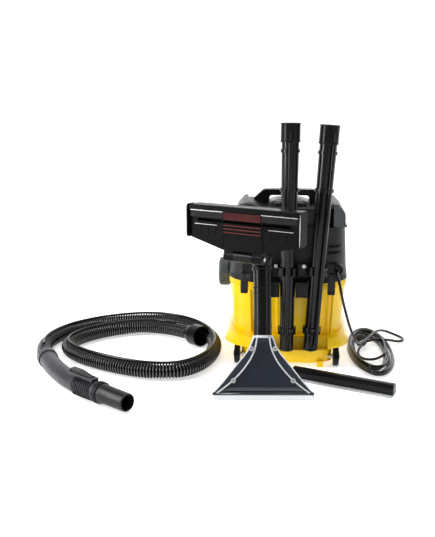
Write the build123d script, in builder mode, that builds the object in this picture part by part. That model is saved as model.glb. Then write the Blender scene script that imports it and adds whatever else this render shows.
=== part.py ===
"""Spot extractor: a spray-extraction cleaning machine with its suction tubes and nozzles.

Origin: on the floor under the middle of the machine.  +Z is up, the rear of the machine
faces -Y, and its right side seen from the rear is +X.  All sizes are in millimetres.
"""

from build123d import *
import math
import os

os.makedirs("parts", exist_ok=True)

# ---- driving dimensions -------------------------------------------------------------------
SEAM_Z = 212.0            # joint between the tub and the head
TUB_FLOOR_Z = 46.0        # underside of the tub, top of the chassis
SHOULDER_Z = 351.0        # where the head steps in to carry the side covers
ROOF_Z = 398.0            # roof of the head
HANDLE_TOP_Z = 436.0      # highest point of the carrying handle
BUTTON_X = 74.0           # the two push buttons on the roof
BUTTON_Y = 60.0
GLAND_X = 122.0           # cable gland in the head's rear right corner
GLAND_Z = 246.0
TUB_HALF_X = 155.0        # half width of the tub at the seam
TUB_HALF_Y = 157.0        # half depth of the tub at the seam
TUB_WAIST_X = 143.0       # half width of the tub at its foot
TUB_WAIST_Y = 147.0       # half depth of the tub at its foot
BASE_HALF_X = 162.0       # half width of the chassis at its bumper
BASE_HALF_Y = 192.0       # half depth of the chassis at its bumper
BASE_CENTRE_Y = -13.0     # the chassis reaches further back than the tub
WALL = 3.0                # moulded wall
GAP = 0.4                 # clearance between pieces that lie beside each other

WHEEL_R = 25.0            # rear wheels
WHEEL_WIDTH = 15.0
WHEEL_X = 126.0
AXLE_R = 5.0
AXLE_Y = -165.0
CASTER_R = 16.0           # front swivel casters
CASTER_X = 82.0
CASTER_Y = 106.0
CASTER_TRAIL = 12.0

PORT_Z = 207.0            # suction port on the left side
PORT_BORE_R = 29.2
PORT_OUTER_R = 39.0
PORT_FACE_X = -187.0

TUBE_R = 21.5             # wide end of a suction tube, 35 mm accessory system
TUBE_END_R = 17.2         # its plug-in end
TUBE_FOOT_R = 17.6        # where the taper starts, at TUBE_FOOT
TUBE_FOOT = 60.0
TUBE_BORE_R = 15.5
TUBE_Y = -192.0
TUBE_1_BASE = (0.0, TUBE_Y, 47.5)
TUBE_2_BASE = (59.0, TUBE_Y, 50.0)
TUBE_1_LENGTH = 566.0
TUBE_2_LENGTH = 560.0
TUBE_2_LEAN = 3.5         # degrees, the right-hand tube leans to the right
SPRAY_LINE_R = 4.5

HOSE_R = 19.0             # corrugated suction hose
CABLE_R = 3.5             # mains cable


def section(half_x, half_y, centre_y, height, radius):
    """A rounded rectangle at a height, as one face."""
    with BuildSketch(Plane.XY.offset(height)) as outline:
        with Locations((0, centre_y)):
            RectangleRounded(2 * half_x, 2 * half_y, radius)
    return outline.sketch.face()


def inset(sections, wall):
    """The same outlines moved in by a wall."""
    return [(hx - wall, hy - wall, cy, z, r - wall) for hx, hy, cy, z, r in sections]


def faces_of(sections):
    """The faces of a list of outlines."""
    return [section(*each) for each in sections]


def profile(plane, corners):
    """A closed outline with straight sides; each corner is (x, y, radius)."""
    with BuildSketch(plane) as outline:
        with BuildLine():
            Polyline(*[(x, y) for x, y, _ in corners], close=True)
        make_face()
        for x, y, radius in corners:
            if radius:
                fillet(outline.vertices().sort_by_distance((x, y))[0], radius)
    return outline.sketch.face()


def finish(builder, name):
    """Label a finished piece and write it."""
    builder.part.label = name
    export_step(builder.part, f"parts/{name}.step")


def rounded_path(points, bend=0.45):
    """Straight runs joined by arcs as large as the runs allow, and the arcs' radii."""
    vectors = [Vector(*point) for point in points]
    radii = []
    for before, here, after in zip(vectors, vectors[1:], vectors[2:]):
        turn = math.radians((here - before).get_angle(after - here))
        shorter = min((here - before).length, (after - here).length)
        radii.append(bend * shorter / math.tan(turn / 2))
    return FilletPolyline(*points, radius=radii), radii


# ============================================================================================
# TUB AND CHASSIS
# ============================================================================================
TUB_OUTLINES = [
    (TUB_WAIST_X, TUB_WAIST_Y, 2, TUB_FLOOR_Z, 90),
    (148, 152, 2, 150, 93),
    (TUB_HALF_X, TUB_HALF_Y, 2, SEAM_Z, 96),
]

with BuildPart() as tub_shell:
    loft(faces_of(TUB_OUTLINES), ruled=True)
    inner = inset(TUB_OUTLINES, WALL)
    lowest = inner[0]
    inner[0] = (lowest[0], lowest[1], lowest[2], TUB_FLOOR_Z + WALL, lowest[4])
    highest = inner[-1]
    inner[-1] = (highest[0], highest[1], highest[2], SEAM_Z + 0.01, highest[4])
    loft(faces_of(inner), ruled=True, mode=Mode.SUBTRACT)
    # notch in the left wall that the port housing drops into
    with BuildSketch(Plane.YZ.offset(-TUB_HALF_X - 10)) as notch:
        with Locations((0, PORT_Z)):
            Circle(36)
        with Locations((0, PORT_Z + 20)):
            Rectangle(72, 40)
    extrude(amount=30, mode=Mode.SUBTRACT)
finish(tub_shell, "tub_shell")

CHASSIS_FLOOR_Z = 41.0    # underside of the floor that the tub stands on
COLLAR_Z = 74.0           # top of the chassis's collar round the tub
BAND_FOOT_Z = 47.0        # where the flared band meets the lower frame
CHASSIS_OUTLINES = [
    (136, 168, BASE_CENTRE_Y, 10, 84),
    (140, 176, BASE_CENTRE_Y, 47, 86),
    (BASE_HALF_X, BASE_HALF_Y, BASE_CENTRE_Y, 54, 92),
    (BASE_HALF_X - 1, BASE_HALF_Y - 1, BASE_CENTRE_Y, 60, 91),
    (150, 178, BASE_CENTRE_Y + 2, COLLAR_Z, 90),
]

with BuildPart() as chassis:
    loft(faces_of(CHASSIS_OUTLINES), ruled=True)
    hollow = inset([(136, 168, BASE_CENTRE_Y, 9.99, 84),
                    (140, 175, BASE_CENTRE_Y, CHASSIS_FLOOR_Z, 86)], WALL + 1)
    loft(faces_of(hollow), ruled=True, mode=Mode.SUBTRACT)
    # seat of the tub
    seat_slope = (148 - TUB_WAIST_X) / (150 - TUB_FLOOR_Z)
    seat = [(TUB_WAIST_X + GAP + seat_slope * (z - TUB_FLOOR_Z),
             TUB_WAIST_Y + GAP + seat_slope * (z - TUB_FLOOR_Z), 2, z, 90 + GAP)
            for z in (TUB_FLOOR_Z - GAP, COLLAR_Z + 1)]
    loft(faces_of(seat), ruled=True, mode=Mode.SUBTRACT)
    # bay at the rear for the feet of the suction tubes
    with Locations((29.5, -200, CHASSIS_FLOOR_Z + 4.6 + 20)):
        Box(148, 64, 40, mode=Mode.SUBTRACT)
    # axle bosses between the wheels
    for side in (-1, 1):
        with Locations((side * 100, AXLE_Y, 30)):
            Box(10, 18, 24)
    # wheel wells open at the sides and below
    for side in (-1, 1):
        with Locations((side * (WHEEL_X + 8), AXLE_Y, 26)):
            Box(WHEEL_WIDTH + 22, 2 * WHEEL_R + 6, 54, mode=Mode.SUBTRACT)
    with Locations(Location((0, AXLE_Y, WHEEL_R), (0, 90, 0))):
        Cylinder(AXLE_R + 0.05, 340, mode=Mode.SUBTRACT)
    # turntables for the front casters
    for side in (-1, 1):
        with Locations((side * CASTER_X, CASTER_Y, 39.6)):
            Cylinder(16, 8)
        with Locations((side * CASTER_X, CASTER_Y, 39)):
            Cylinder(4.05, 30, mode=Mode.SUBTRACT)
    # parking feet at the rear corners
    for side in (-1, 1):
        with Locations((side * 86, -176, 8)):
            Box(16, 18, 15)

# the flared band round the tub's foot is a moulding of its own on the lower frame
with BuildPart() as chassis_band:
    add(chassis.part)
    split(bisect_by=Plane.XY.offset(BAND_FOOT_Z + 0.1), keep=Keep.TOP)
with BuildPart() as chassis_frame:
    add(chassis.part)
    split(bisect_by=Plane.XY.offset(BAND_FOOT_Z), keep=Keep.BOTTOM)
chassis.part = Compound(children=[chassis_frame.part.solid(), chassis_band.part.solid()])
finish(chassis, "chassis")

with BuildPart() as tub_seal:
    with BuildSketch(Plane.XY.offset(SEAM_Z - 5)) as seal_ring:
        with Locations((0, 2)):
            RectangleRounded(2 * (TUB_HALF_X - WALL - 0.9), 2 * (TUB_HALF_Y - WALL - 0.9), 92)
            RectangleRounded(2 * (TUB_HALF_X - 9), 2 * (TUB_HALF_Y - 9), 87, mode=Mode.SUBTRACT)
    extrude(amount=5)
    with Locations((-TUB_HALF_X, 0, SEAM_Z)):
        Box(40, 78, 20, mode=Mode.SUBTRACT)
finish(tub_seal, "tub_seal")

with BuildPart() as rear_axle:
    with Locations(Location((0, AXLE_Y, WHEEL_R), (0, 90, 0))):
        Cylinder(AXLE_R, 2 * WHEEL_X + WHEEL_WIDTH + 6)
finish(rear_axle, "rear_axle")

for side, name in ((-1, "wheel_left"), (1, "wheel_right")):
    with BuildPart() as wheel:
        with Locations(Location((side * WHEEL_X, AXLE_Y, WHEEL_R), (0, 90, 0))):
            Cylinder(WHEEL_R, WHEEL_WIDTH)
            Cylinder(AXLE_R + 0.06, WHEEL_WIDTH, mode=Mode.SUBTRACT)
        fillet(wheel.edges().filter_by(GeomType.CIRCLE).group_by(SortBy.RADIUS)[-1], 3)
        with Locations(Location((side * (WHEEL_X + 7.5), AXLE_Y, WHEEL_R), (0, 90, 0))):
            Cylinder(15, 4, mode=Mode.SUBTRACT)
    finish(wheel, name)

for side, name in ((-1, "caster_left"), (1, "caster_right")):
    wheel_y = CASTER_Y - CASTER_TRAIL
    with BuildPart() as fork:
        with Locations((side * CASTER_X, CASTER_Y, 39)):
            Cylinder(4, 8)
        with Locations((side * CASTER_X, CASTER_Y - 4, 34.4)):
            Box(30, 32, 1.2 + 0.2)
        for ear in (-1, 1):
            with Locations((side * CASTER_X + ear * 13, wheel_y, 24)):
                Box(3, 16, 20)
        with Locations(Location((side * CASTER_X, wheel_y, CASTER_R), (0, 90, 0))):
            Cylinder(3.02, 29)
    finish(fork, name + "_fork")
    with BuildPart() as caster_wheel:
        with Locations(Location((side * CASTER_X, wheel_y, CASTER_R), (0, 90, 0))):
            Cylinder(CASTER_R, 20)
            Cylinder(3.08, 20, mode=Mode.SUBTRACT)
        fillet(caster_wheel.edges().filter_by(GeomType.CIRCLE).group_by(SortBy.RADIUS)[-1], 4)
    finish(caster_wheel, name + "_wheel")

# open insert for the fresh water, which the pump's hose hangs into
with BuildPart() as fresh_tank:
    with Locations((0, 84, 100)):
        Box(190, 84, 96)
        fillet(fresh_tank.edges().filter_by(Axis.Z), 22)
    with Locations((0, 84, 103)):
        Box(184, 78, 96, mode=Mode.SUBTRACT)
finish(fresh_tank, "fresh_water_tank")

# ============================================================================================
# HEAD
# ============================================================================================
HEAD_OUTLINES = [
    (TUB_HALF_X + 1, TUB_HALF_Y + 1, 2, SEAM_Z + 0.5, 96),
    (152, 153, 2, 245, 92),
    (149, 148, 2, 300, 86),
    (146, 138, 0, SHOULDER_Z, 76),
]
UPPER_OUTLINES = [
    (113.5, 116, -2, SHOULDER_Z - 3, 30),
    (112, 112, -8, 385, 30),
    (106, 106, -8, ROOF_Z, 26),
]

with BuildPart() as head_shell:
    loft(faces_of(HEAD_OUTLINES), ruled=True)
    loft(faces_of(UPPER_OUTLINES), ruled=True)
    cavity = inset(HEAD_OUTLINES, WALL)
    first = cavity[0]
    cavity[0] = (first[0], first[1], first[2], SEAM_Z + 0.49, first[4])
    last = cavity[-1]
    cavity[-1] = (last[0], last[1], last[2], SHOULDER_Z - WALL, last[4])
    loft(faces_of(cavity), ruled=True, mode=Mode.SUBTRACT)
    upper_cavity = inset(UPPER_OUTLINES, WALL)
    low = upper_cavity[0]
    upper_cavity[0] = (low[0], low[1], low[2], SHOULDER_Z - WALL - 1, low[4])
    high = upper_cavity[-1]
    upper_cavity[-1] = (high[0], high[1], high[2], ROOF_Z - WALL, high[4])
    loft(faces_of(upper_cavity), ruled=True, mode=Mode.SUBTRACT)
    # air outlet slots at both rear corners
    for side in (-1, 1):
        for height in (289, 305):
            with Locations((side * 118, -135, height)):
                Box(30, 70, 4.6, mode=Mode.SUBTRACT)
    # notch for the port housing
    with BuildSketch(Plane.YZ.offset(-TUB_HALF_X - 12)) as port_hole:
        with Locations((0, PORT_Z)):
            Circle(36)
    extrude(amount=30, mode=Mode.SUBTRACT)
    # boss for the cable gland in the rear right corner
    with Locations(Location((GLAND_X, -125, GLAND_Z), (90, 0, 0))):
        Cylinder(17, 42)
        Cylinder(8.2, 60, mode=Mode.SUBTRACT)
    # holes for the two push buttons in the roof
    for button_x in (-BUTTON_X, BUTTON_X):
        with Locations((button_x, BUTTON_Y, ROOF_Z)):
            Box(34.8, 22.8, 12, mode=Mode.SUBTRACT)
finish(head_shell, "head_shell")

with BuildPart() as head_base:
    with BuildSketch(Plane.XY.offset(SEAM_Z + 1)) as base_plate:
        with Locations((0, 2)):
            RectangleRounded(2 * (TUB_HALF_X - WALL), 2 * (TUB_HALF_Y - WALL), 92)
        Circle(24, mode=Mode.SUBTRACT)
        with Locations((70, 84)):
            Circle(7, mode=Mode.SUBTRACT)
        with Locations((-TUB_HALF_X, 0)):
            Rectangle(60, 80, mode=Mode.SUBTRACT)
    extrude(amount=4)
finish(head_base, "head_base")

with BuildPart() as top_cover:
    with BuildSketch(Plane.XY.offset(ROOF_Z + 0.1)) as dome_foot:
        with Locations((0, -8)):
            RectangleRounded(106, 150, 24)
    with BuildSketch(Plane.XY.offset(ROOF_Z + 8)) as dome_shoulder:
        with Locations((0, -8)):
            RectangleRounded(100, 142, 24)
    with BuildSketch(Plane.XY.offset(ROOF_Z + 12.5)) as dome_crown:
        with Locations((0, -8)):
            RectangleRounded(78, 116, 20)
    loft(ruled=True)
finish(top_cover, "top_cover")

with BuildPart() as carry_handle:
    foot_z = ROOF_Z + 0.2
    arch = profile(Plane.XZ.offset(-17), [
        (-104, foot_z, 0), (-94, 412, 10), (-68, HANDLE_TOP_Z, 18), (68, HANDLE_TOP_Z, 18),
        (94, 412, 10), (104, foot_z, 0), (54, foot_z, 0), (52, 420, 7), (-52, 420, 7),
        (-54, foot_z, 0)])
    extrude(arch, amount=34)
finish(carry_handle, "carry_handle")

for side, name in ((-1, "side_cover_left"), (1, "side_cover_right")):
    with BuildPart() as side_cover:
        cover_profile = profile(Plane.XZ.offset(-96), [
            (side * 114, SHOULDER_Z + 0.3, 0), (side * 148, SHOULDER_Z + 0.3, 0),
            (side * 148, SHOULDER_Z + 5, 1), (side * 144, SHOULDER_Z + 7, 1),
            (side * 143, ROOF_Z - 10, 20), (side * 124, ROOF_Z + 11, 10),
            (side * 114, ROOF_Z + 11, 0)])
        extrude(cover_profile, amount=210)
    finish(side_cover, name)

for button_x, name in ((-BUTTON_X, "suction_button"), (BUTTON_X, "spray_button")):
    with BuildPart() as button:
        with BuildSketch(Plane.XY.offset(ROOF_Z - 10)) as button_outline:
            with Locations((button_x, BUTTON_Y)):
                RectangleRounded(34, 22, 4)
        extrude(amount=16)
        fillet(button.faces().sort_by(Axis.Z)[-1].edges(), 2)
    finish(button, name)

# ---- inside the head ----------------------------------------------------------------------
MOTOR_Y = 0.0

with BuildPart() as fan_housing:
    with Locations((0, MOTOR_Y, 232)):
        Cylinder(66, 30)
        Cylinder(62, 24, mode=Mode.SUBTRACT)
    with Locations((0, MOTOR_Y, 218)):
        Cylinder(22, 10, mode=Mode.SUBTRACT)
    with Locations((0, MOTOR_Y, 246)):
        Cylinder(6, 10, mode=Mode.SUBTRACT)
    with Locations((60, -30, 232)):
        Box(30, 30, 18, mode=Mode.SUBTRACT)
finish(fan_housing, "fan_housing")

with BuildPart() as fan_impeller:
    with Locations((0, MOTOR_Y, 225)):
        Cylinder(56, 2)
    with Locations((0, MOTOR_Y, 234)):
        Cylinder(5, 30)
    with PolarLocations(36, 9):
        with Locations((0, 0, 231)):
            Box(36, 2, 10.2)
    with Locations((0, MOTOR_Y, 218)):
        Cylinder(18, 12.2, mode=Mode.SUBTRACT)
    with Locations((0, MOTOR_Y, 233)):
        Cylinder(5, 16)
finish(fan_impeller, "fan_impeller")

with BuildPart() as suction_motor:
    with Locations((0, MOTOR_Y, 292)):
        Cylinder(50, 88)
    with Locations((0, MOTOR_Y, 338)):
        Cylinder(26, 10)
    with Locations((0, MOTOR_Y, 250)):
        Cylinder(6, 6, mode=Mode.SUBTRACT)
finish(suction_motor, "suction_motor")

with BuildPart() as water_pump:
    with Locations((70, 84, 244)):
        Box(44, 34, 40)
    with Locations(Location((70, 84, 224), (0, 0, 0))):
        Cylinder(6, 12)
    with Locations(Location((70, 58, 250), (90, 0, 0))):
        Cylinder(7, 20)
    # its hose down into the fresh water
    with Locations((70, 84, 138)):
        Cylinder(5, 159)
finish(water_pump, "water_pump_with_hose")

with BuildPart() as float_cage:
    with Locations((0, 0, 180)):
        Cylinder(32, 64)
        Cylinder(28, 60, mode=Mode.SUBTRACT)
    with Locations((0, 0, 210)):
        Cylinder(22, 10, mode=Mode.SUBTRACT)
    with PolarLocations(30, 8):
        with Locations((0, 0, 180)):
            Box(14, 9, 44, mode=Mode.SUBTRACT)
finish(float_cage, "float_cage")

with BuildPart() as float_ball:
    with Locations((0, 0, 172.5)):
        Sphere(22)
finish(float_ball, "float_ball")

with BuildPart() as foam_filter:
    with Locations((0, 0, 182)):
        Cylinder(42, 60)
        Cylinder(32.4, 60, mode=Mode.SUBTRACT)
finish(foam_filter, "foam_filter")

# ---- suction port on the left side ----------------------------------------------------------
with BuildPart() as suction_port:
    port_profile = profile(Plane.XZ, [
        (PORT_FACE_X, PORT_Z + PORT_BORE_R, 1.5), (PORT_FACE_X, PORT_Z + PORT_OUTER_R, 7.5),
        (PORT_FACE_X + 26, PORT_Z + PORT_OUTER_R, 4), (PORT_FACE_X + 29, PORT_Z + 35.2, 0),
        (PORT_FACE_X + 46, PORT_Z + 35.2, 0), (PORT_FACE_X + 46, PORT_Z + 24, 0),
        (PORT_FACE_X + 32, PORT_Z + 24, 0), (PORT_FACE_X + 32, PORT_Z + PORT_BORE_R, 0)])
    revolve(port_profile, axis=Axis((0, 0, PORT_Z), (1, 0, 0)))
finish(suction_port, "suction_port")

# ---- tube rack and latches on the rear --------------------------------------------------------
RACK_BACK_Y = -156.0
RACK_FRONT_Y = -171.0


def tube_frame(base, lean):
    """The plane at a tube's foot whose normal runs up the tube."""
    tilt = math.radians(lean)
    return Plane(origin=base, x_dir=(math.cos(tilt), 0, -math.sin(tilt)),
                 z_dir=(math.sin(tilt), 0, math.cos(tilt)))


TUBE_1 = tube_frame(TUBE_1_BASE, 0)
TUBE_2 = tube_frame(TUBE_2_BASE, TUBE_2_LEAN)
# each tube: its plane, its length and where its spray line lies round it (degrees)
TUBES = [
    ("tube_1", TUBE_1, TUBE_1_LENGTH, -90),
    ("tube_2", TUBE_2, TUBE_2_LENGTH, -62),
]
LINE_OFFSET = TUBE_R + SPRAY_LINE_R + 0.6


def line_place(angle):
    """Where a spray line's axis crosses its tube's plane."""
    turn = math.radians(angle)
    return (LINE_OFFSET * math.cos(turn), LINE_OFFSET * math.sin(turn))


def tube_radius(height, length):
    """Outer radius of a suction tube at a height."""
    share = max(0, height - TUBE_FOOT) / (length - 2 - TUBE_FOOT)
    return TUBE_FOOT_R + share * (TUBE_R - TUBE_FOOT_R)


with BuildPart() as tube_rack:
    with Locations((0, (RACK_BACK_Y + RACK_FRONT_Y) / 2, 251)):
        Box(230, RACK_BACK_Y - RACK_FRONT_Y, 30)
    with Locations((18, (RACK_BACK_Y + RACK_FRONT_Y) / 2, 229)):
        Box(150, RACK_BACK_Y - RACK_FRONT_Y, 14)
    fillet(tube_rack.edges().filter_by(Axis.Y).group_by(Axis.Z)[-1], 6)
    # cheeks beside the tubes
    for low_x, high_x in ((-53, -20), (20, 53)):
        with Locations(((low_x + high_x) / 2, -188, 206)):
            Box(high_x - low_x, 34, 38)
    # clips that hold the tubes
    for name, frame, length, line_angle in TUBES:
        with BuildSketch(frame.offset(193)):
            Circle(26)
        extrude(amount=22)
    for name, frame, length, line_angle in TUBES:
        with BuildSketch(frame.offset(-60)):
            Circle(TUBE_R + 0.5)
            with Locations(line_place(line_angle)):
                Circle(SPRAY_LINE_R + 1.2)
            with Locations(line_place(line_angle)):
                Rectangle(2 * SPRAY_LINE_R + 2.4, 8)
        extrude(amount=700, mode=Mode.SUBTRACT)
        with BuildSketch(frame.offset(-60)):
            with Locations((0, -20)):
                Rectangle(24, 24)
        extrude(amount=700, mode=Mode.SUBTRACT)
    for screw_x in (-30, 40):
        with Locations(Location((screw_x, RACK_FRONT_Y, 260), (90, 0, 0))):
            Cylinder(2.6, 60, mode=Mode.SUBTRACT)
    # ears that carry the latch pins
    for side in (-1, 1):
        with Locations((side * 109.5, -168, 238)):
            Box(11, 20, 12, mode=Mode.SUBTRACT)
        with Locations(Location((side * 109.5, -165, 238), (0, 90, 0))):
            Cylinder(2.1, 24, mode=Mode.SUBTRACT)
finish(tube_rack, "tube_rack")

for side, name in ((-1, "latch_left"), (1, "latch_right")):
    pin_x = side * 109.5
    with BuildPart() as latch:
        with Locations((pin_x, -167.5, 204.5)):
            Box(19, 7, 35)
        fillet(latch.edges().filter_by(Axis.Y), 4)
        with Locations((pin_x, -167.5, 227)):
            Box(10.2, 7, 14)
        with Locations(Location((pin_x, -165, 238), (0, 90, 0))):
            Cylinder(4.6, 10.2)
            Cylinder(2.02, 20)
        with Locations((pin_x, -167.5, 232)):
            Box(10.2, 6, 8)
    finish(latch, name)

with BuildPart() as rack_screws:
    for screw_x in (-30, 40):
        with Locations(Location((screw_x, RACK_FRONT_Y + 7, 260), (90, 0, 0))):
            Cylinder(2.4, 16)
        with Locations(Location((screw_x, RACK_FRONT_Y - 1.6, 260), (90, 0, 0))):
            Cylinder(4.6, 3)
finish(rack_screws, "rack_screws")

with BuildPart() as cable_gland:
    with Locations(Location((GLAND_X, -138.5, GLAND_Z), (90, 0, 0))):
        Cylinder(8, 16)
        Cylinder(CABLE_R + 0.3, 16, mode=Mode.SUBTRACT)
    with BuildSketch(Plane.XZ.offset(146.2)) as gland_foot:
        with Locations((GLAND_X, GLAND_Z)):
            Circle(13)
            Circle(CABLE_R + 0.3, mode=Mode.SUBTRACT)
    with BuildSketch(Plane.XZ.offset(154)) as gland_nose:
        with Locations((GLAND_X, GLAND_Z)):
            Circle(10)
            Circle(CABLE_R + 0.3, mode=Mode.SUBTRACT)
    loft()
finish(cable_gland, "cable_gland")

# ============================================================================================
# SUCTION TUBES
# ============================================================================================
for name, frame, length, line_angle in TUBES:
    with BuildPart() as suction_tube:
        for height, radius in ((0, TUBE_END_R), (TUBE_FOOT, TUBE_FOOT_R), (length - 2, TUBE_R)):
            with BuildSketch(frame.offset(height)):
                Circle(radius)
        loft(ruled=True)
        with BuildSketch(frame):
            Circle(TUBE_BORE_R)
        extrude(amount=length, mode=Mode.SUBTRACT)
        with BuildSketch(frame.offset(length - 40)):
            Circle(TUBE_END_R + 0.3)
        extrude(amount=60, mode=Mode.SUBTRACT)
    finish(suction_tube, name)

    with BuildPart() as sleeve:
        with BuildSketch(frame.offset(length - 44)):
            Circle(TUBE_R + 2)
            Circle(TUBE_R + 0.05, mode=Mode.SUBTRACT)
        extrude(amount=44)
        with BuildSketch(frame.offset(length - 1.9)):
            Circle(TUBE_R + 2)
            Circle(TUBE_END_R + 0.3, mode=Mode.SUBTRACT)
        extrude(amount=1.9)
    finish(sleeve, name + "_sleeve")

    with BuildPart() as spray_line:
        with BuildSketch(frame.offset(26)):
            with Locations(line_place(line_angle)):
                Circle(SPRAY_LINE_R)
        extrude(amount=length - 72)
        for height in (14, length - 48):
            with BuildSketch(frame.offset(height)):
                with Locations(line_place(line_angle)):
                    Circle(4.9)
            extrude(amount=1.6 if height > 100 else 26)
        for height in (52, length / 2 + 120, length - 70):
            with BuildSketch(frame.offset(height)):
                Circle(TUBE_R + 2)
                Circle(tube_radius(height + 8, length) + 0.15, mode=Mode.SUBTRACT)
            extrude(amount=8)
    finish(spray_line, name + "_spray_line")

# ============================================================================================
# HAND NOZZLE, standing on its lip and leaning back
# ============================================================================================
HAND_YAW = math.radians(5)
HAND_LEAN = math.radians(20)
HAND_ORIGIN = (-51, -411, 4)
HAND = Plane(
    origin=HAND_ORIGIN,
    x_dir=(math.cos(HAND_YAW), math.sin(HAND_YAW), 0),
    z_dir=(math.sin(HAND_YAW) * math.cos(HAND_LEAN),
           -math.cos(HAND_YAW) * math.cos(HAND_LEAN), math.sin(HAND_LEAN)))
UP_HAND = Plane(origin=HAND_ORIGIN, x_dir=HAND.x_dir, z_dir=HAND.y_dir)
NECK_LOW = 141.0          # distances up the hand nozzle from its lip
NECK_TOP = 253.0
NECK_R = 20.6
NECK_BORE_R = 17.4
# outlines across the nozzle: distance up, width, thickness
FAN = [(10, 228, 15), (38, 178, 19), (66, 134, 24), (105, 70, 33), (134, 44, 42)]

with BuildPart() as hand_nozzle_body:
    for height, width, depth in FAN:
        with BuildSketch(UP_HAND.offset(height)):
            RectangleRounded(width, depth, 6)
    loft(ruled=True)
    for height, width, depth in FAN:
        with BuildSketch(UP_HAND.offset(height)):
            RectangleRounded(width - 5, depth - 5, 3.5)
    loft(ruled=True, mode=Mode.SUBTRACT)
    with BuildSketch(UP_HAND.offset(133.9)):
        Circle(22)
        Circle(17.4, mode=Mode.SUBTRACT)
    extrude(amount=NECK_LOW - 134)
finish(hand_nozzle_body, "hand_nozzle_body")

with BuildPart() as hand_nozzle_lip:
    with BuildSketch(UP_HAND.offset(-3.6)):
        RectangleRounded(232, 13, 4)
        RectangleRounded(222, 5, 2, mode=Mode.SUBTRACT)
    with BuildSketch(UP_HAND.offset(9.8)):
        RectangleRounded(232, 17, 6)
        RectangleRounded(222, 9, 2, mode=Mode.SUBTRACT)
    loft(ruled=True)
    with Locations((0, -411, -20)):
        Box(400, 200, 40, mode=Mode.SUBTRACT)
finish(hand_nozzle_lip, "hand_nozzle_lip")

with BuildPart() as hand_nozzle_neck:
    with BuildSketch(UP_HAND.offset(NECK_LOW + 0.1)):
        Circle(NECK_R)
        Circle(NECK_BORE_R, mode=Mode.SUBTRACT)
    extrude(amount=NECK_TOP - NECK_LOW - 0.1)
finish(hand_nozzle_neck, "hand_nozzle_neck")

with BuildPart() as hand_nozzle_screws:
    for across, up, front in ((-27, 110, 18.0), (27, 110, 18.0), (-68, 38, 10.2), (68, 38, 10.2)):
        place = HAND.from_local_coords((across, up, front))
        with BuildSketch(Plane(origin=place, x_dir=HAND.x_dir, z_dir=HAND.z_dir)):
            Circle(3.4)
        extrude(amount=2.2)
finish(hand_nozzle_screws, "hand_nozzle_screws")

with BuildPart() as hand_nozzle_jet:
    jet_base = HAND.from_local_coords((0, 122, -26.8))
    with BuildSketch(Plane(origin=jet_base, x_dir=HAND.x_dir, z_dir=HAND.y_dir)):
        Circle(4.2)
    extrude(amount=118)
finish(hand_nozzle_jet, "hand_nozzle_spray_pipe")

# ============================================================================================
# FLOOR NOZZLE, plugged into the hand nozzle's neck with its sole to the rear
# ============================================================================================
SOLE_YAW = math.radians(28)
PIVOT = (-98, -372, 320)
SOLE = Plane(
    origin=PIVOT,
    x_dir=(math.cos(SOLE_YAW), -math.sin(SOLE_YAW), 0),
    z_dir=(-math.sin(SOLE_YAW), -math.cos(SOLE_YAW), 0))
ACROSS_SOLE = Plane(origin=PIVOT, x_dir=SOLE.y_dir, z_dir=SOLE.x_dir)
SOLE_HALF = 142.0         # half of the working width
PIN_R = 4.0
KNUCKLE_R = 12.5

with BuildPart() as floor_nozzle_body:
    housing = profile(SOLE.offset(-24), [
        (-SOLE_HALF, 38, 6), (-52, 14, 12), (52, 14, 12), (SOLE_HALF, 38, 6),
        (SOLE_HALF, 113, 3), (-SOLE_HALF, 113, 3)])
    extrude(housing, amount=34)
    # suction channel behind the strips
    with BuildSketch(SOLE.offset(10)):
        with Locations((0, 79)):
            Rectangle(240, 6)
    extrude(amount=-26, mode=Mode.SUBTRACT)
    # knuckles of the pivot and the webs that carry them
    for side in (-1, 1):
        with BuildSketch(ACROSS_SOLE.offset(side * 37 - 12)):
            Circle(KNUCKLE_R)
            with Locations((10, 0)):
                Rectangle(20, 2 * KNUCKLE_R - 6)
        extrude(amount=24)
    with BuildSketch(ACROSS_SOLE.offset(-25 + 0.4)):
        Circle(KNUCKLE_R + 1)
    extrude(amount=49.2, mode=Mode.SUBTRACT)
    with BuildSketch(ACROSS_SOLE.offset(-60)):
        Circle(PIN_R + 0.06)
    extrude(amount=120, mode=Mode.SUBTRACT)
finish(floor_nozzle_body, "floor_nozzle_body")

with BuildPart() as floor_nozzle_red_strips:
    for low, high in ((84, 100), (54, 56.5), (62, 64.5), (70, 72.5)):
        with BuildSketch(SOLE.offset(10)):
            with Locations((0, (low + high) / 2)):
                Rectangle(96, high - low)
        extrude(amount=4)
finish(floor_nozzle_red_strips, "floor_nozzle_red_strips")

with BuildPart() as floor_nozzle_glides:
    for side in (-1, 1):
        with BuildSketch(SOLE.offset(10)):
            with Locations((side * 94, 92)):
                Rectangle(88, 14)
        extrude(amount=4)
finish(floor_nozzle_glides, "floor_nozzle_glides")

with BuildPart() as floor_nozzle_top_lip:
    with BuildSketch(SOLE.offset(10)):
        with Locations((0, 107.5)):
            Rectangle(2 * SOLE_HALF - 6, 10)
    extrude(amount=7)
finish(floor_nozzle_top_lip, "floor_nozzle_top_lip")

with BuildPart() as floor_nozzle_end_caps:
    for side in (-1, 1):
        cap_plane = ACROSS_SOLE.offset(side * (SOLE_HALF + 0.1) - (3 if side < 0 else 0))
        with BuildSketch(cap_plane):
            with Locations((75.5, 3)):
                RectangleRounded(77, 34, 8)
        extrude(amount=3)
finish(floor_nozzle_end_caps, "floor_nozzle_end_caps")

with BuildPart() as floor_nozzle_pin:
    with BuildSketch(ACROSS_SOLE.offset(-52)):
        Circle(PIN_R)
    extrude(amount=104)
finish(floor_nozzle_pin, "floor_nozzle_pin")

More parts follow.
